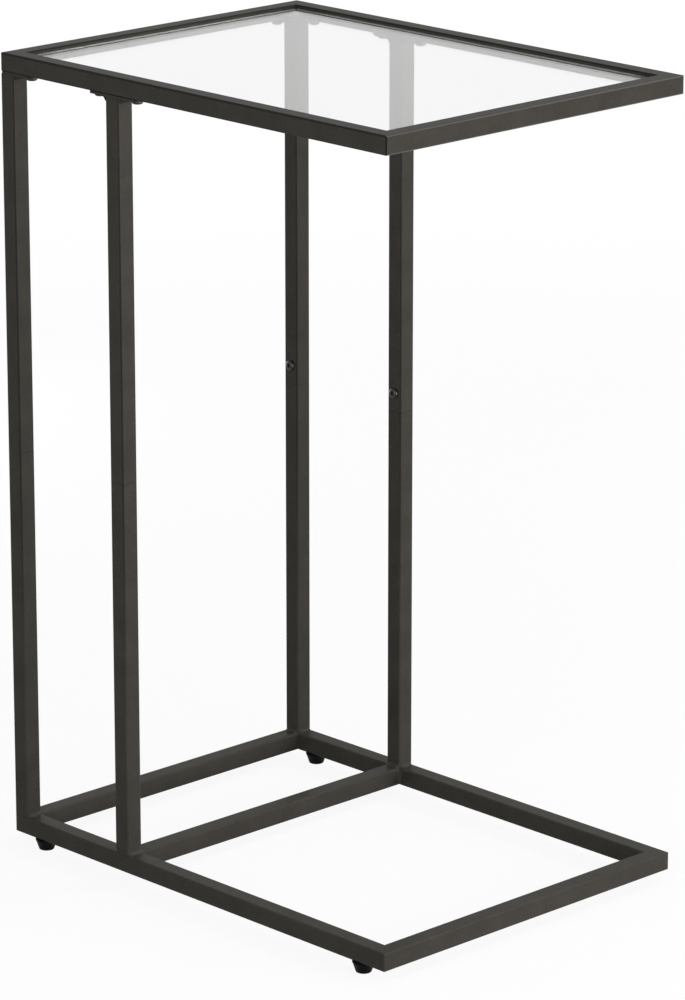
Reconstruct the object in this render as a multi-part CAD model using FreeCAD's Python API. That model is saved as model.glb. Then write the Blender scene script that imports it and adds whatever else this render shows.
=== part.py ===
import FreeCAD, Part
import math
import os

# C-shaped side table of square steel tube with a glass pane let into its top frame.
# Four legs stand at one end, so that the open end slides over a seat or a bed.
# The table is sold flat: its top frame bolts to the four upper legs, and each upper
# leg slides over a sleeve in its lower leg and is held there by one screw.
# Millimetres. +Z is up, +X points to the open end, and Z is 0 on the floor.
# The origin is the middle of the table's footprint.

# Overall size
overall_length = 460.0
overall_width = 340.0
overall_height = 700.0
inner_leg_setback = 132.0  # from the legs' end to the near face of the inner legs

# Square tube of every rail and leg
tube_side = 16.0
tube_wall = 1.2
tube_edge_radius = 1.7

# Leg joint: seam, sleeve and the screw above the seam
seam_height_share = 0.5  # of the leg between base frame and top frame
seam_gap = 0.2  # between the coated ends of an upper and a lower leg
sleeve_wall = 1.2
sleeve_clearance = 0.15  # per side, inside the leg
sleeve_reach = 34.0  # above the seam, and the same below it
screw_above_seam = 17.0

# Plates on top of the upper legs
plate_thickness = 2.0
plate_inset = 0.4
plate_corner_radius = 3.0
tab_length = 21.0
tab_screw_from_leg = 15.0

# Button-head screws with hexagon sockets, and their weld nuts
screw_diameter = 5.0
screw_length = 10.0
screw_head_diameter = 9.5
screw_head_height = 2.75
screw_face_share = 0.55  # flat face of the head, of its diameter
screw_socket_width = 3.0
screw_socket_depth = 1.6
screw_hole_clearance = 0.25  # radial, in plates and tube walls
screw_nut_width = 8.0
screw_nut_height = 4.0
thread_clearance = 0.05  # radial, between a screw and its nut

# Glass pane, and the gussets and clear pads that carry it
glass_thickness = 5.0
glass_sunk = 3.0  # its top lies this far below the top of the frame
glass_side_gap = 1.0
glass_corner_radius = 4.0
glass_arris = 0.6
gusset_leg = 26.0
gusset_thickness = 2.0
gusset_tip = 3.0  # width of the clipped tips
pad_diameter = 10.0
pad_height = 2.2
pad_flat_share = 0.6  # flat top of the pad, of its diameter
pad_from_wall = 9.5

# Levelling feet
foot_from_end = 32.0
foot_height = 10.0
foot_top_diameter = 19.0
foot_bottom_diameter = 13.6
foot_rim_height = 1.6
foot_sole_bevel = 1.2
foot_travel = 7.0
stud_diameter = 6.0
stud_in_foot = 6.5
stud_point = 0.8
stud_hole_clearance = 0.3
stud_nut_width = 10.0
stud_nut_height = 5.0

# One overrun serves every cut
overrun = 1.0

# Worked out from the sizes above
half_length = overall_length / 2
half_width = overall_width / 2
half_tube = tube_side / 2
tube_inside = tube_side - 2 * tube_wall
base_bottom = foot_height
base_top = base_bottom + tube_side
frame_bottom = overall_height - tube_side
leg_top = frame_bottom - plate_thickness
seam = base_top + seam_height_share * (frame_bottom - base_top)
screw_height = seam + screw_above_seam
sleeve_side = tube_inside - 2 * sleeve_clearance
glass_top = overall_height - glass_sunk
glass_bottom = glass_top - glass_thickness
gusset_top = glass_bottom - pad_height
screw_hole_radius = screw_diameter / 2 + screw_hole_clearance

UP = FreeCAD.Vector(0, 0, 1)
DOWN = FreeCAD.Vector(0, 0, -1)
ALONG_X = FreeCAD.Vector(1, 0, 0)
ALONG_Y = FreeCAD.Vector(0, 1, 0)

# Each leg's centre, the directions of its plate's two tabs, and the direction across the
# table from the leg to the middle, where its joint's screw is.
outer_leg_x = half_tube - half_length
inner_leg_x = inner_leg_setback + half_tube - half_length
leg_y = half_width - half_tube
LEGS = {
    "outer_left": (FreeCAD.Vector(outer_leg_x, -leg_y, 0), (ALONG_X, ALONG_Y), ALONG_Y),
    "outer_right": (FreeCAD.Vector(outer_leg_x, leg_y, 0), (ALONG_X, -ALONG_Y), -ALONG_Y),
    "inner_left": (FreeCAD.Vector(inner_leg_x, -leg_y, 0), (ALONG_X, -ALONG_X), ALONG_Y),
    "inner_right": (FreeCAD.Vector(inner_leg_x, leg_y, 0), (ALONG_X, -ALONG_X), -ALONG_Y),
}

# Each foot's place under the long rails
foot_x = half_length - foot_from_end
FEET = {
    "leg_end_left": FreeCAD.Vector(-foot_x, -leg_y, 0),
    "leg_end_right": FreeCAD.Vector(-foot_x, leg_y, 0),
    "open_end_left": FreeCAD.Vector(foot_x, -leg_y, 0),
    "open_end_right": FreeCAD.Vector(foot_x, leg_y, 0),
}

# Each corner of the top frame's opening, as the signs of X and Y
CORNERS = {
    "leg_end_left": (-1, -1),
    "leg_end_right": (-1, 1),
    "open_end_left": (1, -1),
    "open_end_right": (1, 1),
}


def save(node, solids):
    """Writes one sub-part, which is one solid or a group of separate ones."""
    shape = solids[0] if len(solids) == 1 else Part.makeCompound(solids)
    shape.exportStep(os.path.join("parts", node + ".step"))


def placed(shape, start, direction):
    """A copy of a shape modelled about the origin along +Z, turned and moved to start."""
    copy = shape.copy()
    move = FreeCAD.Placement(start, FreeCAD.Rotation(UP, direction))
    copy.Placement = move.multiply(copy.Placement)
    return copy


def rounded_rectangle(length, width, radius):
    """A flat face on the XY plane, centred on the origin, with round corners."""
    x = length / 2
    y = width / 2
    inset = radius * (1 - math.sqrt(0.5))
    edges = []
    for turn in range(4):
        far, side = (x, y) if turn % 2 == 0 else (y, x)
        rotation = FreeCAD.Rotation(UP, 90 * turn)
        points = [
            FreeCAD.Vector(far, radius - side, 0),
            FreeCAD.Vector(far, side - radius, 0),
            FreeCAD.Vector(far - inset, side - inset, 0),
            FreeCAD.Vector(far - radius, side, 0),
        ]
        low, high, middle, end = [rotation.multVec(point) for point in points]
        edges.append(Part.LineSegment(low, high).toShape())
        edges.append(Part.Arc(high, middle, end).toShape())
    return Part.Face(Part.Wire(edges))


def square_tube(side, wall, length):
    """A hollow square tube along +Z from the origin, with rounded outer edges."""
    outer = rounded_rectangle(side, side, tube_edge_radius)
    inside = side - 2 * wall
    bore = Part.makePlane(inside, inside, FreeCAD.Vector(-inside / 2, -inside / 2, 0))
    return outer.cut(bore).extrude(UP * length)


def drill(centre, radius, length, direction=UP):
    """A cylinder for a hole, which overruns both ends of the stated length."""
    start = centre - direction * overrun
    return Part.makeCylinder(radius, length + 2 * overrun, start, direction)


def frame_rail(length, distance, turn, bottom):
    """One mitred rail of a rectangular frame, turned about Z from the -Y side.

    length is over its outer corners, and distance is from the middle to its outer face.
    The welded corners are ground round, to the radius of the tube's own edges.
    """
    tube = placed(square_tube(tube_side, tube_wall, length), FreeCAD.Vector(-length / 2, 0, 0), ALONG_X)
    tube.translate(FreeCAD.Vector(0, half_tube - distance, half_tube + bottom))
    outer = -distance - overrun
    inner = tube_side - distance + overrun
    outer_half = length / 2 + overrun
    inner_half = length / 2 - tube_side - overrun
    low = bottom - overrun
    plan = Part.makePolygon(
        [
            FreeCAD.Vector(-outer_half, outer, low),
            FreeCAD.Vector(outer_half, outer, low),
            FreeCAD.Vector(inner_half, inner, low),
            FreeCAD.Vector(-inner_half, inner, low),
            FreeCAD.Vector(-outer_half, outer, low),
        ]
    )
    cut_height = UP * (tube_side + 2 * overrun)
    mitres = Part.Face(plan).extrude(cut_height)
    ground = rounded_rectangle(length, 2 * distance, tube_edge_radius).extrude(cut_height)
    ground.translate(UP * low)
    rail = tube.common(mitres).common(ground)
    rail.rotate(FreeCAD.Vector(0, 0, 0), UP, turn)
    return rail


def frame_rails(bottom):
    """The four mitred rails of a frame with the table's outline."""
    return {
        "left": frame_rail(overall_length, half_width, 0, bottom),
        "open_end": frame_rail(overall_width, half_length, 90, bottom),
        "right": frame_rail(overall_length, half_width, 180, bottom),
        "leg_end": frame_rail(overall_width, half_length, 270, bottom),
    }


def hex_prism(width, height):
    """A hexagonal prism along +Z from the origin, by its width across flats."""
    corner = width / math.sqrt(3)
    points = []
    for step in range(7):
        angle = math.radians(60 * step)
        points.append(FreeCAD.Vector(corner * math.cos(angle), corner * math.sin(angle), 0))
    return Part.Face(Part.makePolygon(points)).extrude(UP * height)


def weld_nut(width, height, thread):
    """A hexagonal nut along +Z from the origin, with a plain bore for its thread."""
    bore = drill(FreeCAD.Vector(0, 0, 0), thread / 2 + thread_clearance, height)
    return hex_prism(width, height).cut(bore)


def dome(rim, flat, height):
    """A round dome of a sphere, standing on the origin, with a flat top."""
    drop = (rim**2 - flat**2 - height**2) / (2 * height)
    sphere = math.hypot(rim, drop)
    halfway = (math.atan2(drop, rim) + math.atan2(drop + height, flat)) / 2
    foot = FreeCAD.Vector(0, 0, 0)
    low = FreeCAD.Vector(rim, 0, 0)
    bulge = FreeCAD.Vector(sphere * math.cos(halfway), 0, sphere * math.sin(halfway) - drop)
    high = FreeCAD.Vector(flat, 0, height)
    crown = FreeCAD.Vector(0, 0, height)
    outline = [
        Part.LineSegment(foot, low).toShape(),
        Part.Arc(low, bulge, high).toShape(),
        Part.LineSegment(high, crown).toShape(),
        Part.LineSegment(crown, foot).toShape(),
    ]
    return Part.Face(Part.Wire(outline)).revolve(foot, UP, 360)


def button_screw():
    """A screw whose head's seat is at the origin: the shank along +Z, the head below."""
    head = dome(screw_head_diameter / 2, screw_face_share * screw_head_diameter / 2, screw_head_height)
    head = placed(head, FreeCAD.Vector(0, 0, 0), DOWN)
    socket = hex_prism(screw_socket_width, screw_socket_depth + overrun)
    socket.translate(DOWN * (screw_head_height + overrun))
    shank = Part.makeCylinder(screw_diameter / 2, screw_length)
    return head.cut(socket).fuse(shank).removeSplitter()


def leg_plate(directions):
    """A flat plate over a leg's end with one tab per direction, modelled at the origin."""
    width = tube_side - 2 * plate_inset
    reach = half_tube + tab_length
    thickness = UP * plate_thickness
    plate = rounded_rectangle(width, width, plate_corner_radius / 2).extrude(thickness)
    for direction in directions:
        tab = rounded_rectangle(reach + width / 2, width, plate_corner_radius).extrude(thickness)
        tab.translate(ALONG_X * ((reach - width / 2) / 2))
        tab.rotate(FreeCAD.Vector(0, 0, 0), UP, math.degrees(math.atan2(direction.y, direction.x)))
        plate = plate.fuse(tab)
    plate = plate.removeSplitter()
    for direction in directions:
        centre = direction * (half_tube + tab_screw_from_leg)
        plate = plate.cut(drill(centre, screw_hole_radius, plate_thickness))
    return plate


def glass_pane():
    """The pane with round corners and a ground arris along both faces."""
    length = overall_length - 2 * tube_side - 2 * glass_side_gap
    width = overall_width - 2 * tube_side - 2 * glass_side_gap
    face = rounded_rectangle(length, width, glass_corner_radius)
    pane = face.extrude(UP * glass_thickness)
    rims = [
        edge
        for edge in pane.Edges
        if abs(edge.BoundBox.ZMax - edge.BoundBox.ZMin) < glass_arris / 2
    ]
    pane = pane.makeChamfer(glass_arris, rims)
    pane.translate(FreeCAD.Vector(0, 0, glass_bottom))
    return pane


def gusset():
    """A corner plate between the axes, where the two rails' walls are, with clipped tips."""
    points = [
        FreeCAD.Vector(0, 0, 0),
        FreeCAD.Vector(gusset_leg, 0, 0),
        FreeCAD.Vector(gusset_leg, gusset_tip, 0),
        FreeCAD.Vector(gusset_tip, gusset_leg, 0),
        FreeCAD.Vector(0, gusset_leg, 0),
        FreeCAD.Vector(0, 0, 0),
    ]
    return Part.Face(Part.makePolygon(points)).extrude(UP * gusset_thickness)


def glide():
    """The plastic part of a foot, standing on the origin, with a blind hole for its stud."""
    top = foot_top_diameter / 2
    bottom = foot_bottom_diameter / 2
    bore = stud_diameter / 2 + thread_clearance
    bore_end = foot_height - stud_in_foot
    points = [
        FreeCAD.Vector(0, 0, 0),
        FreeCAD.Vector(bottom - foot_sole_bevel, 0, 0),
        FreeCAD.Vector(bottom, 0, foot_sole_bevel),
        FreeCAD.Vector(top, 0, foot_height - foot_rim_height),
        FreeCAD.Vector(top, 0, foot_height),
        FreeCAD.Vector(bore, 0, foot_height),
        FreeCAD.Vector(bore, 0, bore_end),
        FreeCAD.Vector(0, 0, bore_end),
        FreeCAD.Vector(0, 0, 0),
    ]
    return Part.Face(Part.makePolygon(points)).revolve(points[0], UP, 360)


def stud():
    """The foot's threaded stud, from its end in the foot to its tip in the rail."""
    reach = tube_wall + stud_nut_height + foot_travel
    length = stud_in_foot + reach
    radius = stud_diameter / 2
    points = [
        FreeCAD.Vector(0, 0, 0),
        FreeCAD.Vector(radius, 0, 0),
        FreeCAD.Vector(radius, 0, length - stud_point),
        FreeCAD.Vector(radius - stud_point, 0, length),
        FreeCAD.Vector(0, 0, length),
        FreeCAD.Vector(0, 0, 0),
    ]
    rod = Part.Face(Part.makePolygon(points)).revolve(points[0], UP, 360)
    rod.translate(UP * (foot_height - stud_in_foot))
    return rod


os.makedirs("parts", exist_ok=True)

# Screws that hold the plates to the top frame, from below
plate_screw_seats = []
for place, directions, _ in LEGS.values():
    for direction in directions:
        seat = place + direction * (half_tube + tab_screw_from_leg)
        plate_screw_seats.append(seat + UP * leg_top)
plate_drills = Part.makeCompound(
    [
        Part.makeCylinder(screw_hole_radius, plate_thickness + tube_wall + overrun, seat)
        for seat in plate_screw_seats
    ]
)

# Top frame
for side, rail in frame_rails(frame_bottom).items():
    save("top_rail_" + side, rail.cut(plate_drills).Solids)

# Base frame, with the cross rail between the inner legs
foot_drills = Part.makeCompound(
    [
        drill(place + UP * base_bottom, stud_diameter / 2 + stud_hole_clearance, tube_wall)
        for place in FEET.values()
    ]
)
for side, rail in frame_rails(base_bottom).items():
    save("base_rail_" + side, rail.cut(foot_drills).Solids)
cross_length = overall_width - 2 * tube_side
cross_start = FreeCAD.Vector(inner_leg_x, -cross_length / 2, base_bottom + half_tube)
save("base_cross_rail", [placed(square_tube(tube_side, tube_wall, cross_length), cross_start, ALONG_Y)])

# Legs, with their plates, sleeves and sleeve screws
sleeve_screws = []
sleeve_nuts = []
for leg, (place, directions, inward) in LEGS.items():
    joint_seat = place + inward * half_tube + UP * screw_height
    joint_drill = drill(joint_seat, screw_hole_radius, half_tube, -inward)
    upper = placed(square_tube(tube_side, tube_wall, leg_top - seam), place + UP * seam, UP)
    save("upper_leg_" + leg, [upper.cut(joint_drill)])
    lower_length = seam - seam_gap - base_top
    lower = placed(square_tube(tube_side, tube_wall, lower_length), place + UP * base_top, UP)
    save("lower_leg_" + leg, [lower])
    sleeve = square_tube(sleeve_side, sleeve_wall, 2 * sleeve_reach)
    sleeve = placed(sleeve, place + UP * (seam - sleeve_reach), UP)
    save("leg_sleeve_" + leg, [sleeve.cut(joint_drill)])
    plate = leg_plate(directions)
    save("leg_plate_" + leg, [placed(plate, place + UP * leg_top, UP)])
    nut_depth = tube_wall + sleeve_clearance + sleeve_wall
    nut = weld_nut(screw_nut_width, screw_nut_height, screw_diameter)
    sleeve_nuts.append(placed(nut, joint_seat - inward * nut_depth, -inward))
    sleeve_screws.append(placed(button_screw(), joint_seat, -inward))
save("sleeve_screws", sleeve_screws)
save("sleeve_nuts", sleeve_nuts)

# Screws and nuts of the leg plates
plate_nut = weld_nut(screw_nut_width, screw_nut_height, screw_diameter)
nut_rise = UP * (plate_thickness + tube_wall)
save("plate_screws", [placed(button_screw(), seat, UP) for seat in plate_screw_seats])
save("plate_nuts", [placed(plate_nut, seat + nut_rise, UP) for seat in plate_screw_seats])

# Glass, its corner gussets and pads
opening_x = half_length - tube_side
opening_y = half_width - tube_side
pad = dome(pad_diameter / 2, pad_flat_share * pad_diameter / 2, pad_height)
pads = []
for corner, (sign_x, sign_y) in CORNERS.items():
    turn = math.degrees(math.atan2(-sign_y, -sign_x)) - 45
    plate = gusset()
    plate.rotate(FreeCAD.Vector(0, 0, 0), UP, turn)
    wall_corner = FreeCAD.Vector(sign_x * opening_x, sign_y * opening_y, gusset_top - gusset_thickness)
    plate.translate(wall_corner)
    save("glass_gusset_" + corner, [plate])
    inward = FreeCAD.Vector(-sign_x * pad_from_wall, -sign_y * pad_from_wall, gusset_thickness)
    pads.append(placed(pad, wall_corner + inward, UP))
save("glass_pads", pads)
save("glass_pane", [glass_pane()])

# Levelling feet, and their nuts in the base rails
stud_nut = weld_nut(stud_nut_width, stud_nut_height, stud_diameter)
stud_nuts = []
for corner, place in FEET.items():
    save("foot_" + corner, [placed(glide(), place, UP)])
    save("foot_stud_" + corner, [placed(stud(), place, UP)])
    stud_nuts.append(placed(stud_nut, place + UP * (base_bottom + tube_wall), UP))
save("foot_nuts", stud_nuts)
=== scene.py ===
import math

import bpy
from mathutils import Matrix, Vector


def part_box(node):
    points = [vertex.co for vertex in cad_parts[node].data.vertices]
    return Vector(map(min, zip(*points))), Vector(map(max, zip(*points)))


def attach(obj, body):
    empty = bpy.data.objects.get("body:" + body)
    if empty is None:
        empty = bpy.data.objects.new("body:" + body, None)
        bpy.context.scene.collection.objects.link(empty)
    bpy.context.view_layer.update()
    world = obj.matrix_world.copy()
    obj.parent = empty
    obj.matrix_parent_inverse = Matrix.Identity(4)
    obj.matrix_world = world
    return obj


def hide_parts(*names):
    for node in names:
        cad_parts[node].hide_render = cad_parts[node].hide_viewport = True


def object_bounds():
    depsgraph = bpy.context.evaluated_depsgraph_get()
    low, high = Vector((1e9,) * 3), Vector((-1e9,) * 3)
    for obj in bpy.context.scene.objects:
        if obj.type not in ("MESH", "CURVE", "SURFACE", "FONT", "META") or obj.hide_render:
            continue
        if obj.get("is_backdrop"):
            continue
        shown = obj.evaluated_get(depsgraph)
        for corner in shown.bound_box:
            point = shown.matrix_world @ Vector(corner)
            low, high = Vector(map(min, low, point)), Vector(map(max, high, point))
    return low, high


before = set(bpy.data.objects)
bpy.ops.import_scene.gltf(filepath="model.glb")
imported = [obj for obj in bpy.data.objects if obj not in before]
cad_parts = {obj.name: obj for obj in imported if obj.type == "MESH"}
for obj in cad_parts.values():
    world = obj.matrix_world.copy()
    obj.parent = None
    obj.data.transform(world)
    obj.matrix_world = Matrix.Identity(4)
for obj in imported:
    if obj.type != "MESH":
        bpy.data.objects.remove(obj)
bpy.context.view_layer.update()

# Camera at the photograph's place, to the right of the near long side and above the top.
# A long lens, level from left to right, aimed down a little.
camera_place = (2.86873, -2.75575, 1.49722)
camera_pitch_down = 16.420
camera_turn = 46.103
camera_lens = 176.57
bpy.ops.object.select_all(action="DESELECT")
bpy.ops.object.camera_add(
    location=camera_place,
    rotation=(math.radians(90 - camera_pitch_down), 0, math.radians(camera_turn)),
)
camera = bpy.context.object
camera.name = "camera"
camera.data.sensor_width = 36
camera.data.lens = camera_lens
camera.data.clip_start = 0.05
camera.data.clip_end = 60
bpy.context.scene.camera = camera
bpy.context.scene.view_settings.view_transform = "Standard"

# Base frame: four mitred rails of 16 mm square steel tube and a cross rail between the
# inner legs, welded and ground flush outside. The satin bronze black powder coat has an
# orange peel, and painted shade darkens the tube's edges in the upper half of the table.
SIDES = ("left", "open_end", "right", "leg_end")
coat_colour = (0.0420, 0.0388, 0.0333)
coat_colour_thin = (0.0550, 0.0503, 0.0430)
coat_thin_from = (0.5, 0.22)
# Painted shade: a dark colour on the tube's rounded edges from some height up.
painted_edge_shade_colour = (0.0240, 0.0223, 0.0197)
painted_edge_shade_from_height = (0.23, 0.11)
# Painted shade, darker still, on the top frame's upright corners.
painted_corner_shade_colour = (0.0100, 0.0095, 0.0090)
painted_corner_shade_from_height = (0.6835, 0.0005)
coat_shine = 0.02
coat_gloss = 0.05
coat_gloss_roughness = 0.16
coat_roughness = 0.30
mottle_roughness = 0.18
clouds_roughness = 0.08
clouds_per_metre = 38
mottle_per_metre = 420
peel_per_metre = 950
grain_per_metre = 3200
clouds_share = 0.6
peel_share = 0.75
peel_bump = (0.55, 0.0002)
flat_from_squareness = (0.95, 0.04)
level_from_tilt = (0.35, 0.1)


class Wire:
    """One output of a material's nodes. Arithmetic on it adds Math nodes."""

    def __init__(self, tree, socket):
        self.tree = tree
        self.socket = socket

    def node(self, kind, settings, sockets, output=0):
        """Adds a node: its settings first, then the values or links of its sockets."""
        made = self.tree.nodes.new(kind)
        for name, value in settings.items():
            setattr(made, name, value)
        for name, value in sockets.items():
            if isinstance(value, Wire):
                self.tree.links.new(value.socket, made.inputs[name])
            else:
                made.inputs[name].default_value = value
        return Wire(self.tree, made.outputs[output])

    def output(self, name):
        """Another output of the same node."""
        return Wire(self.tree, self.socket.node.outputs[name])

    def maths(self, operation, first, second):
        return self.node("ShaderNodeMath", {"operation": operation}, {0: first, 1: second})

    def __add__(self, other):
        return self.maths("ADD", self, other)

    __radd__ = __add__

    def __sub__(self, other):
        return self.maths("SUBTRACT", self, other)

    def __rsub__(self, other):
        return self.maths("SUBTRACT", other, self)

    def __mul__(self, other):
        return self.maths("MULTIPLY", self, other)

    __rmul__ = __mul__

    def past(self, edge, softness):
        """1 where this is past the edge, with a soft step."""
        return self.node(
            "ShaderNodeMapRange",
            {"interpolation_type": "SMOOTHSTEP"},
            {"Value": self, "From Min": edge - softness, "From Max": edge + softness},
        )

    def noise(self, scale, detail=2.0):
        """Noise on this place, with about scale features to the metre."""
        sockets = {"Vector": self, "Scale": scale, "Detail": detail}
        return self.node("ShaderNodeTexNoise", {}, sockets)

    def blend(self, first, second):
        """From the first colour to the second as this goes from 0 to 1."""
        colours = [c if isinstance(c, Wire) else (*c, 1) for c in (first, second)]
        sockets = {"Factor": self, 6: colours[0], 7: colours[1]}
        return self.node("ShaderNodeMix", {"data_type": "RGBA"}, sockets, output=2)

    def bump(self, height, strength, distance):
        """The normal for a surface with this height on it."""
        sockets = {"Height": height, "Strength": strength, "Distance": distance}
        return self.node("ShaderNodeBump", {}, sockets)


def new_material(name):
    """A material with its Principled shader and a Wire on Object coordinates."""
    material = bpy.data.materials.new(name)
    material.use_nodes = True
    tree = material.node_tree
    place = Wire(tree, None).node("ShaderNodeTexCoord", {}, {}, output="Object")
    return material, tree.nodes["Principled BSDF"], place


def wire_in(surface, **sockets):
    """Sets or links the shader's sockets, named with _ for a space."""
    for name, value in sockets.items():
        socket = surface.inputs[name.replace("_", " ")]
        if isinstance(value, Wire):
            value.tree.links.new(value.socket, socket)
        else:
            socket.default_value = value


def give_finish(material, *names):
    """Gives the material to every face of the CAD nodes."""
    for name in names:
        for material_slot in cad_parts[name].material_slots:
            material_slot.material = material


def tube_masks(place):
    """1 on a tube's flat faces and 0 on its round edges, and 1 on what looks up or down."""
    facing = place.node("ShaderNodeNewGeometry", {}, {}, output="Normal")
    facing = facing.node("ShaderNodeSeparateXYZ", {}, {"Vector": facing})
    along_x, along_y, along_z = (
        facing.maths("ABSOLUTE", facing.output(axis), 0) for axis in ("X", "Y", "Z")
    )
    squareness = facing.maths("MAXIMUM", along_x.maths("MAXIMUM", along_x, along_y), along_z)
    return squareness.past(*flat_from_squareness), along_z.past(*level_from_tilt)


def powder_coat(name, painted_highlight_colour=None):
    """The frame's coat, with painted shade on its edges from some height up, darker painted
    shade on the top frame's upright corners, and a painted highlight, if a colour is given,
    on level edges."""
    material, surface, place = new_material(name)
    clouds = place.noise(clouds_per_metre, detail=3)
    mottle = place.noise(mottle_per_metre)
    peel = place.noise(peel_per_metre)
    grain = place.noise(grain_per_metre, detail=1)
    tone = clouds * clouds_share + mottle * (1 - clouds_share)
    colour = tone.past(*coat_thin_from).blend(coat_colour, coat_colour_thin)
    flat, level = tube_masks(place)
    height = place.node("ShaderNodeSeparateXYZ", {}, {"Vector": place}, output="Z")
    # Painted shade: the rounded edges turn dark from some height up.
    painted_light_on_edges = height.past(*painted_edge_shade_from_height).blend(colour, painted_edge_shade_colour)
    # Painted shade, darker, on the top frame's upright corners.
    corner = height.past(*painted_corner_shade_from_height) * (1 - level)
    painted_light_on_edges = corner.blend(painted_light_on_edges, painted_corner_shade_colour)
    # Painted highlight: a lighter colour on level edges, where one is given.
    if painted_highlight_colour:
        painted_light_on_edges = level.blend(painted_light_on_edges, painted_highlight_colour)
    colour = flat.blend(painted_light_on_edges, colour)
    roughness = coat_roughness + mottle * mottle_roughness + clouds * clouds_roughness
    skin = peel * peel_share + grain * (1 - peel_share)
    wire_in(
        surface,
        Base_Color=colour,
        Roughness=roughness,
        Specular_IOR_Level=coat_shine,
        Coat_Weight=coat_gloss,
        Coat_Roughness=coat_gloss_roughness,
        Normal=place.bump(skin, *peel_bump),
    )
    return material


coat = powder_coat("powder_coat")
give_finish(coat, *("base_rail_" + side for side in SIDES), "base_cross_rail")

# Lower legs: four lengths of the same steel tube, sawn square and welded on end to the
# base frame, two at its corners and two inward along its long rails. Coated with it.
LEGS = ("outer_left", "outer_right", "inner_left", "inner_right")
give_finish(coat, *("lower_leg_" + leg for leg in LEGS))

# Welds of the base: a small concave fillet along each open side of a leg's foot, and down
# both sides of the cross rail's ends. Torch-laid in fine ripples, then coated over.
base_weld_reach = 0.0034
base_weld_length = 0.0138
base_weld_end_shares = (0.30, 0.72, 0.93)
weld_sunk = 0.0001
weld_ripple = 0.0009
weld_ripple_depth = 0.06
weld_hollow_share = 0.9
weld_hollow_profile = 0.14
weld_hollow_steps = 6
weld_smooth_angle = 50


def select_only(*things):
    """Selects the things alone and makes the last one active."""
    bpy.ops.object.select_all(action="DESELECT")
    for thing in things:
        thing.select_set(True)
    bpy.context.view_layer.objects.active = things[-1]


def select_vertices(thing, wanted):
    """In edit mode, selects only the vertices whose place passes the test."""
    bpy.ops.mesh.select_mode(type="VERT")
    bpy.ops.mesh.select_all(action="DESELECT")
    bpy.ops.object.mode_set(mode="OBJECT")
    for vertex in thing.data.vertices:
        vertex.select = wanted(vertex.co)
    bpy.ops.object.mode_set(mode="EDIT")


def weld_bead(reach, length, end_shares):
    """A fillet of weld along Y that fills the corner between the planes x = 0 and z = 0."""
    bpy.ops.object.select_all(action="DESELECT")
    bpy.ops.mesh.primitive_plane_add(
        size=reach,
        location=(reach / 2, -length / 2, reach / 2),
        rotation=(math.radians(90), 0, 0),
    )
    bead = bpy.context.object
    bpy.ops.object.transform_apply()
    bpy.ops.object.mode_set(mode="EDIT")
    select_vertices(bead, lambda at: min(at.x, at.z) > reach / 2)
    bpy.ops.mesh.bevel(
        offset=weld_hollow_share * reach,
        segments=weld_hollow_steps,
        profile=weld_hollow_profile,
        affect="VERTICES",
    )
    bpy.ops.mesh.select_all(action="SELECT")
    rings = round(length / weld_ripple)
    swells = [1 - weld_ripple_depth * (ring % 2) for ring in range(rings + 1)]
    swells[: len(end_shares)] = end_shares
    swells[-len(end_shares) :] = reversed(end_shares)
    before = 1.0
    for ring, swell in enumerate(swells):
        if ring > 0:
            step = (0, length / rings, 0)
            bpy.ops.mesh.extrude_region_move(TRANSFORM_OT_translate={"value": step})
        share = swell / before
        bpy.ops.transform.resize(value=(share, 1, share), center_override=(0, 0, 0))
        before = swell
    bpy.ops.mesh.select_all(action="SELECT")
    bpy.ops.mesh.normals_make_consistent(inside=False)
    bpy.ops.transform.translate(value=(-weld_sunk, 0, -weld_sunk))
    bpy.ops.object.mode_set(mode="OBJECT")
    bpy.ops.object.shade_smooth_by_angle(angle=math.radians(weld_smooth_angle))
    return bead


def set_copies(pattern, name, places):
    """Copies the pattern to each place, turned by its degrees, and joins them as one piece."""
    copies = []
    for place, turn in places:
        select_only(pattern)
        bpy.ops.object.duplicate()
        copy = bpy.context.object
        copy.location = place
        copy.rotation_euler = [math.radians(angle) for angle in turn]
        copies.append(copy)
    select_only(pattern)
    bpy.ops.object.delete()
    select_only(*copies)
    if len(copies) > 1:
        bpy.ops.object.join()
    bpy.ops.object.transform_apply()
    piece = bpy.context.object
    piece.name = name
    piece.data.name = name
    return piece


def finish_piece(piece, material, body="frame"):
    """Gives a new piece its material and the body that it rides on."""
    piece.data.materials.clear()
    piece.data.materials.append(material)
    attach(piece, body)


def open_sides(leg, inward):
    """The directions from a leg in which the frame goes on, along the rails or inward too."""
    middle = sum(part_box("lower_leg_" + leg), Vector()) / 2
    across = (0, -math.copysign(1, middle.y))
    sides = [(1, 0)]
    if leg.startswith("inner"):
        sides.append((-1, 0))
    if inward or leg.startswith("outer"):
        sides.append(across)
    return middle, sides


def beside(middle, side, distance, height):
    """The place at a distance from a leg's middle, to one side, at a height."""
    return (middle.x + side[0] * distance, middle.y + side[1] * distance, height)


def compass(side):
    """The angle of a side, in degrees from +X."""
    return math.degrees(math.atan2(side[1], side[0]))


half_tube = (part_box("base_cross_rail")[1].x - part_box("base_cross_rail")[0].x) / 2
base_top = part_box("base_cross_rail")[1].z
places = []
for leg in LEGS:
    middle, sides = open_sides(leg, inward=True)
    for side in sides:
        places.append((beside(middle, side, half_tube, base_top), (0, 0, compass(side))))
cross_low, cross_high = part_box("base_cross_rail")
cross_middle = (cross_low.z + cross_high.z) / 2
for end, tilt in ((cross_low.y, -90), (cross_high.y, 90)):
    places.append(((cross_high.x, end, cross_middle), (tilt, 0, 0)))
    places.append(((cross_low.x, end, cross_middle), (tilt, 180, 0)))
bead = weld_bead(base_weld_reach, base_weld_length, base_weld_end_shares)
welds = set_copies(bead, "base_welds", places)
finish_piece(welds, coat)

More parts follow.
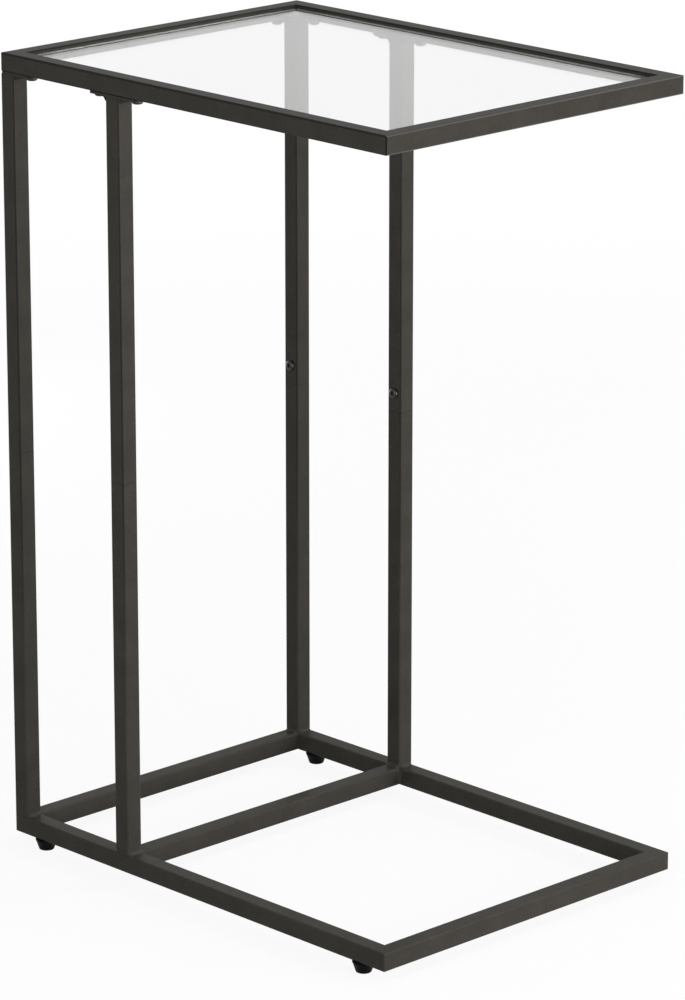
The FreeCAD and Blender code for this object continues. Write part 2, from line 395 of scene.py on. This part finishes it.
# Sleeves: square tubes fixed in the lower legs, that the upper legs slide over. Coated
# with the legs, each has a zinc-plated weld nut behind its hole.
plating_grain_per_metre = 2500
plating_shade = 0.85
plating_grain_roughness = 0.1
plating_bump = (0.2, 0.00005)
zinc_colour = (0.60, 0.62, 0.63)
zinc_roughness = 0.30
give_finish(coat, *("leg_sleeve_" + leg for leg in LEGS))


def plated_steel(name, colour, roughness):
    """Plated steel: a smooth metal with the fine grain of the drawn wire under it."""
    material, surface, place = new_material(name)
    grain = place.noise(plating_grain_per_metre)
    shaded = tuple(channel * plating_shade for channel in colour)
    wire_in(
        surface,
        Base_Color=grain.blend(shaded, colour),
        Metallic=1.0,
        Roughness=roughness + grain * plating_grain_roughness,
        Normal=place.bump(grain, *plating_bump),
    )
    return material


zinc = plated_steel("zinc_plating", zinc_colour, zinc_roughness)
give_finish(zinc, "sleeve_nuts", "plate_nuts", "foot_nuts")

# Upper legs: four more lengths of the tube, each drilled for its leg screw. They slide
# over the sleeves down to a hairline seam, and are coated with the leg plates.
give_finish(coat, *("upper_leg_" + leg for leg in LEGS))

# Leg screws: one M5 button head with a hexagon socket above each seam, on the side to the
# middle of the table. Cold-headed steel in a black nickel plating.
screw_length = 0.010
screw_radius = 0.0025
screw_point = 0.0005
head_radius = 0.00475
head_height = 0.00275
head_rim = 0.0004
head_flat_share = 0.55
socket_width = 0.003
socket_depth = 0.0016
socket_mouth = 0.0003
socket_mouth_share = 1.18
socket_point = 0.0004
socket_point_share = 0.15
turning_steps = 48
turned_smooth_angle = 32
screw_spins = (17, 48, 5, 31)
nickel_colour = (0.045, 0.043, 0.040)
nickel_roughness = 0.24


def arc(centre, radii, start, end, steps):
    """Points of (radius, height) on an elliptical arc, from one angle to the other."""
    points = []
    for step in range(steps + 1):
        angle = math.radians(start + (end - start) * step / steps)
        across = centre[0] + radii[0] * math.cos(angle)
        points.append((across, centre[1] + radii[1] * math.sin(angle)))
    return points


def turned(outline, lead=0.0):
    """Turns an outline of (radius, height) once round Z, and along it by the lead."""
    bpy.ops.object.select_all(action="DESELECT")
    bpy.ops.mesh.primitive_plane_add(size=0.001)
    shape = bpy.context.object
    bpy.ops.object.mode_set(mode="EDIT")
    bpy.ops.mesh.merge(type="CENTER")
    radius, height = 0, 0
    for point in outline:
        step = (point[0] - radius, 0, point[1] - height)
        if point == outline[0]:
            bpy.ops.transform.translate(value=step)
        else:
            bpy.ops.mesh.extrude_region_move(TRANSFORM_OT_translate={"value": step})
        radius, height = point
    bpy.ops.object.mode_set(mode="OBJECT")
    bpy.ops.object.modifier_add(type="SCREW")
    turning = shape.modifiers[-1]
    turning.steps = turning_steps
    turning.render_steps = turning_steps
    turning.screw_offset = lead
    bpy.ops.object.modifier_apply(modifier=turning.name)
    bpy.ops.object.mode_set(mode="EDIT")
    bpy.ops.mesh.select_all(action="SELECT")
    bpy.ops.mesh.remove_doubles(threshold=1e-6)
    bpy.ops.mesh.fill_holes(sides=0)
    bpy.ops.mesh.select_all(action="SELECT")
    bpy.ops.mesh.normals_make_consistent(inside=False)
    bpy.ops.object.mode_set(mode="OBJECT")
    bpy.ops.object.shade_smooth_by_angle(angle=math.radians(turned_smooth_angle))
    return shape


def button_screw():
    """A screw whose seat is at the origin, with its head up and its shank down."""
    flat = head_flat_share * head_radius
    rim = head_radius - head_rim
    outline = [(0, -screw_length), (screw_radius - screw_point, -screw_length)]
    outline += [(screw_radius, screw_point - screw_length), (screw_radius, 0), (rim, 0)]
    outline += arc((rim, head_rim), (head_rim, head_rim), -60, 0, 3)
    dome = (head_radius - flat, head_height - 2 * head_rim)
    outline += arc((flat, 2 * head_rim), dome, 0, 90, 10)
    outline += [(0, head_height)]
    screw = turned(outline)
    mouth = head_height - socket_mouth
    near = 0.1 * socket_mouth
    bpy.ops.object.select_all(action="DESELECT")
    bpy.ops.mesh.primitive_cylinder_add(
        vertices=6,
        radius=socket_width / math.sqrt(3),
        depth=socket_depth - socket_mouth,
        location=(0, 0, mouth - (socket_depth - socket_mouth) / 2),
    )
    cutter = bpy.context.object
    bpy.ops.object.transform_apply()
    bpy.ops.object.mode_set(mode="EDIT")
    ends = (
        (mouth, socket_mouth, socket_mouth_share),
        (head_height - socket_depth, -socket_point, socket_point_share),
    )
    for level, step, share in ends:
        select_vertices(cutter, lambda at: abs(at.z - level) < near)
        move = {"value": (0, 0, step)}
        bpy.ops.mesh.extrude_region_move(TRANSFORM_OT_translate=move)
        bpy.ops.transform.resize(value=(share, share, 1), center_override=(0, 0, level + step))
    select_vertices(cutter, lambda at: at.z > head_height - near)
    bpy.ops.mesh.extrude_region_move(TRANSFORM_OT_translate={"value": (0, 0, socket_mouth)})
    bpy.ops.mesh.select_all(action="SELECT")
    bpy.ops.mesh.normals_make_consistent(inside=False)
    bpy.ops.object.mode_set(mode="OBJECT")
    select_only(screw)
    bpy.ops.object.modifier_add(type="BOOLEAN")
    cut = screw.modifiers[-1]
    cut.operation = "DIFFERENCE"
    cut.object = cutter
    bpy.ops.object.modifier_apply(modifier=cut.name)
    select_only(cutter)
    bpy.ops.object.delete()
    select_only(screw)
    bpy.ops.object.shade_smooth_by_angle(angle=math.radians(turned_smooth_angle))
    return screw


black_nickel = plated_steel("black_nickel", nickel_colour, nickel_roughness)
screw_low, screw_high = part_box("sleeve_screws")
screw_level = (screw_low.z + screw_high.z) / 2
places = []
for leg, spin in zip(LEGS, screw_spins):
    middle, sides = open_sides(leg, inward=True)
    side = sides[-1]
    places.append((beside(middle, side, half_tube, screw_level), (-90 * side[1], spin, 0)))
sleeve_screws = set_copies(button_screw(), "leg_screws", places)
finish_piece(sleeve_screws, black_nickel)
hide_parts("sleeve_screws")

# Leg plates: a laser-cut plate on top of each upper leg, with tabs along the rails, and
# the fillets of weld under its tabs. Coated with the legs.
plate_weld_reach = 0.0040
plate_weld_length = 0.0158
plate_weld_end_shares = (0.82, 0.96)
give_finish(coat, *("leg_plate_" + leg for leg in LEGS))
leg_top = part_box("upper_leg_outer_left")[1].z
places = []
for leg in LEGS:
    middle, sides = open_sides(leg, inward=False)
    for side in sides:
        places.append((beside(middle, side, half_tube, leg_top), (180, 0, compass(side))))
bead = weld_bead(plate_weld_reach, plate_weld_length, plate_weld_end_shares)
welds = set_copies(bead, "plate_welds", places)
finish_piece(welds, coat)

# Plate screws: the same button heads, driven up through the tabs into weld nuts that are
# hidden in the rails.
tab_screw_from_leg = 0.015
tab_screw_turn = 23
places = []
for leg, spin in zip(LEGS, screw_spins):
    middle, sides = open_sides(leg, inward=False)
    for side in sides:
        seat = beside(middle, side, half_tube + tab_screw_from_leg, leg_top)
        spin += tab_screw_turn
        places.append((seat, (180, 0, spin)))
plate_screws = set_copies(button_screw(), "plate_screw_heads", places)
finish_piece(plate_screws, black_nickel)
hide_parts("plate_screws")

# Top frame: four mitred rails like the base's, with their outer corners ground round.
# The rail at the open end has a painted highlight, a lighter colour along its level edges.
# Painted highlight: a lighter colour on the level edges of the rail at the open end.
painted_highlight_colour = (0.110, 0.104, 0.094)
highlight_painted_coat = powder_coat("powder_coat_painted_highlight", painted_highlight_colour)
give_finish(coat, *("top_rail_" + side for side in SIDES))
give_finish(highlight_painted_coat, "top_rail_open_end")

# Gussets: a small steel triangle in each corner of the top frame, that carries the glass.
# Each is tacked to the rails from below with two short welds and coated.
gusset_weld_reach = 0.0020
gusset_weld_length = 0.0085
gusset_weld_from_corner = 0.013
CORNERS = ("leg_end_left", "leg_end_right", "open_end_left", "open_end_right")
give_finish(coat, *("glass_gusset_" + corner for corner in CORNERS))
places = []
for corner in CORNERS:
    low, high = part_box("glass_gusset_" + corner)
    sign_x = math.copysign(1, low.x)
    sign_y = math.copysign(1, low.y)
    wall_x = low.x if sign_x < 0 else high.x
    wall_y = low.y if sign_y < 0 else high.y
    along_y = (wall_x, wall_y - sign_y * gusset_weld_from_corner, low.z)
    along_x = (wall_x - sign_x * gusset_weld_from_corner, wall_y, low.z)
    places.append((along_y, (180, 0, compass((-sign_x, 0)))))
    places.append((along_x, (180, 0, compass((0, -sign_y)))))
bead = weld_bead(gusset_weld_reach, gusset_weld_length, base_weld_end_shares)
welds = set_copies(bead, "gusset_welds", places)
finish_piece(welds, coat)

# Pads: clear domes of soft silicone, stuck on the gussets under the glass's corners. They
# are moulded, and a little cloudy inside.
pad_cloud_colour = (0.80, 0.82, 0.83)
pad_colour = (0.92, 0.93, 0.93)
pad_clouds_per_metre = 600
pads, surface, place = new_material("clear_silicone")
wire_in(
    surface,
    Base_Color=place.noise(pad_clouds_per_metre).blend(pad_cloud_colour, pad_colour),
    Roughness=0.22,
    Transmission_Weight=0.7,
    IOR=1.41,
)
give_finish(pads, "glass_pads")

# Glass: a pane of 5 mm clear float glass, toughened, with ground and polished edges. It
# is greener at its rim, where the eye looks along it, and shows a trace of haze.
glass_clear_share = 0.98
glass_colour = (0.902, 0.908, 0.904)
glass_rim_colour = (0.45, 0.56, 0.51)
glass_rim_width = 0.0009
glass_rim_fade = 0.0002
glass_rim_roughness = 0.4
glass_shadow_colour = (0.9, 0.9, 0.9, 1)
pane_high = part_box("glass_pane")[1]
glass, surface, place = new_material("glass")
corner = place.node("ShaderNodeSeparateXYZ", {}, {"Vector": place})
from_middle_x = corner.maths("ABSOLUTE", corner, 0)
from_middle_y = corner.maths("ABSOLUTE", corner.output("Y"), 0)
past_x = from_middle_x - (pane_high.x - glass_rim_width)
past_y = from_middle_y - (pane_high.y - glass_rim_width)
rim = past_x.maths("MAXIMUM", past_x, past_y).past(0, glass_rim_fade)
wire_in(
    surface,
    Base_Color=rim.blend(glass_colour, glass_rim_colour),
    Roughness=rim * glass_rim_roughness,
    Transmission_Weight=glass_clear_share,
    IOR=1.5,
)
tree = glass.node_tree
shadow_ray = place.node("ShaderNodeLightPath", {}, {}, output="Is Shadow Ray")
clear = place.node("ShaderNodeBsdfTransparent", {}, {"Color": glass_shadow_colour})
shown = Wire(tree, surface.outputs["BSDF"])
seen = place.node("ShaderNodeMixShader", {}, {0: shadow_ray, 1: shown, 2: clear})
tree.links.new(seen.socket, tree.nodes["Material Output"].inputs["Surface"])
give_finish(glass, "glass_pane")

# Levelling feet: glides moulded in black nylon, wider at the top than at the sole, with a
# straight rim to grip. They screw in and out under the long rails.
foot_rim = 0.0016
foot_round = 0.0004
foot_sole_radius = 0.0068
foot_sole_round = 0.0012
sole_ring = 0.0046
sole_hollow = 0.0004
stud_hole_radius = 0.00305
stud_hole_depth = 0.0065
nylon_colour = (0.002, 0.002, 0.002)
nylon_colour_worn = (0.004, 0.004, 0.004)
nylon_roughness = 0.42
nylon_grain_roughness = 0.12
nylon_grain_per_metre = 1800
nylon_bump = (0.25, 0.00008)
nylon, surface, place = new_material("moulded_nylon")
grain = place.noise(nylon_grain_per_metre)
wire_in(
    surface,
    Base_Color=grain.blend(nylon_colour, nylon_colour_worn),
    Roughness=nylon_roughness + grain * nylon_grain_roughness,
    Specular_IOR_Level=0.04,
    Normal=place.bump(grain, *nylon_bump),
)
for corner in CORNERS:
    low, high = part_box("foot_" + corner)
    top = high.z - low.z
    radius = (high.x - low.x) / 2
    edge = radius - foot_round
    hole = top - stud_hole_depth
    outline = [(0, hole), (stud_hole_radius, hole), (stud_hole_radius, top)]
    outline += arc((edge, top - foot_round), (foot_round, foot_round), 90, 0, 4)
    outline += [(radius, top - foot_rim), (edge, top - foot_rim - foot_round)]
    inner = foot_sole_radius - foot_sole_round
    outline += arc((inner, foot_sole_round), (foot_sole_round, foot_sole_round), -5, -90, 5)
    outline += [(sole_ring, 0), (sole_ring - sole_hollow, sole_hollow), (0, sole_hollow)]
    middle = (low + high) / 2
    places = [((*middle.xy, low.z), (0, 0, 0))]
    foot = set_copies(turned(outline), "glide_" + corner, places)
    finish_piece(foot, nylon, "levelling_foot_" + corner)
    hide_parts("foot_" + corner)

# Foot studs: M6 threaded rod moulded into each glide, zinc-plated. It shows when the foot
# is screwed out, and turns in a nut welded inside the rail.
thread_pitch = 0.001
thread_depth = 0.00055
thread_flat_from = 0.45
thread_flat_to = 0.55
for corner in CORNERS:
    low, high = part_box("foot_stud_" + corner)
    crest = (high.x - low.x) / 2
    turns = math.floor((high.z - low.z) / thread_pitch) - 1
    outline = []
    for turn in range(turns):
        outline += [(crest - thread_depth, turn * thread_pitch)]
        outline += [(crest, (turn + thread_flat_from) * thread_pitch)]
        outline += [(crest, (turn + thread_flat_to) * thread_pitch)]
    outline += [(crest - thread_depth, turns * thread_pitch)]
    middle = (low + high) / 2
    places = [((*middle.xy, low.z), (0, 0, 0))]
    stud = set_copies(turned(outline, thread_pitch), "stud_" + corner, places)
    finish_piece(stud, zinc, "levelling_foot_" + corner)
    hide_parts("foot_stud_" + corner)

# Studio floor: a plain white sweep that keeps the table's shadow, and fades into the white
# surround away from the table.
floor_size = 40
floor_grey = 0.30
floor_lit_share = 0.10
floor_lit_radius = 1.7
floor_fade = 1.0


def sees_background(wire):
    """1 for the camera and for what glass and metal show, where the background is white."""
    camera_ray = wire.node("ShaderNodeLightPath", {}, {}, output="Is Camera Ray")
    shown = wire.maths("MAXIMUM", camera_ray, camera_ray.output("Is Transmission Ray"))
    return wire.maths("MAXIMUM", shown, camera_ray.output("Is Glossy Ray"))


bpy.ops.object.select_all(action="DESELECT")
bpy.ops.mesh.primitive_plane_add(size=floor_size)
floor = bpy.context.object
floor.name = "studio_floor"
floor_material, surface, place = new_material("studio_floor")
tree = floor_material.node_tree
background = sees_background(place)
wire_in(
    surface,
    Base_Color=background.blend([floor_grey] * 3, (1, 1, 1)),
    Roughness=1.0,
    Specular_IOR_Level=0.0,
)
white = place.node("ShaderNodeEmission", {}, {"Color": (1, 1, 1, 1), "Strength": 1.0})
lit = Wire(tree, surface.outputs["BSDF"])
length = {"operation": "LENGTH"}
from_table = place.node("ShaderNodeVectorMath", length, {0: place}, output="Value")
near_table = 1 - from_table.past(floor_lit_radius, floor_fade)
plain = background * (1 - near_table * floor_lit_share)
seen = place.node("ShaderNodeMixShader", {}, {0: plain, 1: lit, 2: white})
tree.links.new(seen.socket, tree.nodes["Material Output"].inputs["Surface"])
floor.data.materials.append(floor_material)
floor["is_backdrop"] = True

# Studio light: an even surround, white where it shows behind the table or in its glass and
# metal and dimmer as a light, with softboxes on its four sides and one high behind it. Each
# has its place, its width and height, and its watts.
surround_light = 0.30
table_middle = (0, 0, 0.35)
softboxes = {
    "side_softbox": ((1.680, 0.250, 0.360), (1.4, 0.66), 26),
    "front_softbox": ((0.211, -1.338, 0.640), (0.7, 0.7), 6.6),
    "left_softbox": ((-1.700, 0.350, 0.360), (1.0, 0.66), 7),
    "rear_softbox": ((0.100, 1.700, 0.360), (1.0, 0.66), 8),
    "high_softbox": ((0.762, 1.737, 2.129), (0.7, 0.7), 16),
}
world = bpy.data.worlds.new("studio")
bpy.context.scene.world = world
world.use_nodes = True
tree = world.node_tree
path = Wire(tree, None)
light = sees_background(path).blend([surround_light] * 3, (1, 1, 1))
tree.links.new(light.socket, tree.nodes["Background"].inputs["Color"])
for name, (place, size, watts) in softboxes.items():
    bpy.ops.object.select_all(action="DESELECT")
    bpy.ops.object.light_add(type="AREA", location=place)
    lamp = bpy.context.object
    lamp.name = name
    away = Vector(place) - Vector(table_middle)
    lamp.rotation_euler = away.to_track_quat("Z", "Y").to_euler()
    lamp.data.shape = "RECTANGLE"
    lamp.data.size, lamp.data.size_y = size
    lamp.data.energy = watts
    lamp.visible_camera = False
    lamp.visible_transmission = False

low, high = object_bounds()
